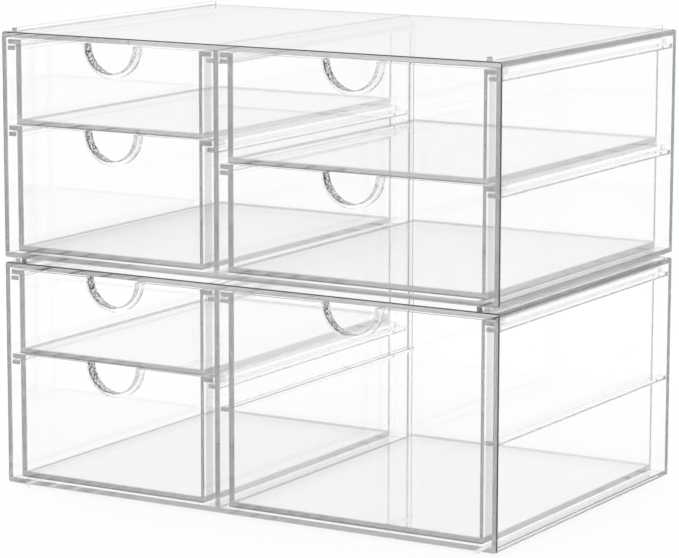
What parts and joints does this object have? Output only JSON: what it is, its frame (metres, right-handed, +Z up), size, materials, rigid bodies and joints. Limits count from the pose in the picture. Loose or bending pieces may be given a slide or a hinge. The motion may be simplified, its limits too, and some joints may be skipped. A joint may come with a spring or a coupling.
{
  "type": "drawer organizer",
  "caption": "Clear stacking organizer: moulded cases with side-by-side bays and pull-out drawers with half-round finger notches.",
  "frame": {"origin": "centre of the footprint, on the surface that the organizer stands on", "axes": "+Z up, +X to the right across the width, -Y out of the drawer fronts"},
  "size_m": [0.32, 0.2134, 0.2664],
  "materials": {
    "clear_case": "clear, polished",
    "clear_drawer": "clear, polished"
  },
  "bodies": {
    "lower_case": {"lower_case": "clear_case"},
    "upper_case": {"upper_case": "clear_case"},
    "lower_left_short_drawer": {"lower_left_short_drawer": "clear_drawer"},
    "lower_left_deep_drawer": {"lower_left_deep_drawer": "clear_drawer"},
    "lower_right_tall_drawer": {"lower_right_tall_drawer": "clear_drawer"},
    "upper_left_short_drawer": {"upper_left_short_drawer": "clear_drawer"},
    "upper_left_deep_drawer": {"upper_left_deep_drawer": "clear_drawer"},
    "upper_right_top_drawer": {"upper_right_top_drawer": "clear_drawer"},
    "upper_right_bottom_drawer": {"upper_right_bottom_drawer": "clear_drawer"}
  },
  "joints": [
    {"name": "upper_case_lift", "type": "slide", "parent": "lower_case", "child": "upper_case", "axis": [0, 0, 1], "range_m": [0, 0.05]},
    {"name": "lower_left_short_drawer_slide", "type": "slide", "parent": "lower_case", "child": "lower_left_short_drawer", "axis": [0, -1, 0], "range_m": [0, 0.19]},
    {"name": "lower_left_deep_drawer_slide", "type": "slide", "parent": "lower_case", "child": "lower_left_deep_drawer", "axis": [0, -1, 0], "range_m": [0, 0.19]},
    {"name": "lower_right_tall_drawer_slide", "type": "slide", "parent": "lower_case", "child": "lower_right_tall_drawer", "axis": [0, -1, 0], "range_m": [0, 0.19]},
    {"name": "upper_left_short_drawer_slide", "type": "slide", "parent": "upper_case", "child": "upper_left_short_drawer", "axis": [0, -1, 0], "range_m": [0, 0.19]},
    {"name": "upper_left_deep_drawer_slide", "type": "slide", "parent": "upper_case", "child": "upper_left_deep_drawer", "axis": [0, -1, 0], "range_m": [0, 0.19]},
    {"name": "upper_right_top_drawer_slide", "type": "slide", "parent": "upper_case", "child": "upper_right_top_drawer", "axis": [0, -1, 0], "range_m": [0, 0.19]},
    {"name": "upper_right_bottom_drawer_slide", "type": "slide", "parent": "upper_case", "child": "upper_right_bottom_drawer", "axis": [0, -1, 0], "range_m": [0, 0.19]}
  ]
}
